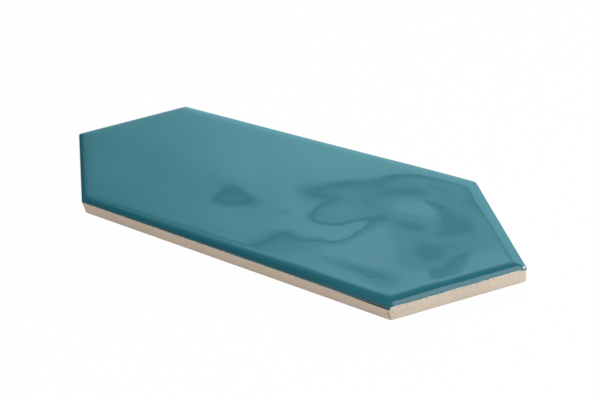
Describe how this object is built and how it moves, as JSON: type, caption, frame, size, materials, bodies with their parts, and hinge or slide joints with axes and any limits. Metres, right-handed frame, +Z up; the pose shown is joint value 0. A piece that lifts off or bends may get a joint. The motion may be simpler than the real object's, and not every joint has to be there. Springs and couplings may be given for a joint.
{
  "type": "picket tile",
  "caption": "Elongated hexagonal wall tile: glossy teal glaze with low swells and a rolled rim over a pale drafted clay body with a keyed back.",
  "frame": {"origin": "middle of the back, on the plane that the tile lies on", "axes": "+X along the length towards one tip, +Y across the width, +Z up out of the glazed face"},
  "size_m": [0.2988, 0.102, 0.0109],
  "materials": {
    "glaze": "gloss"
  },
  "bodies": {
    "root": {"picket_tile": "glaze"}
  },
  "joints": []
}
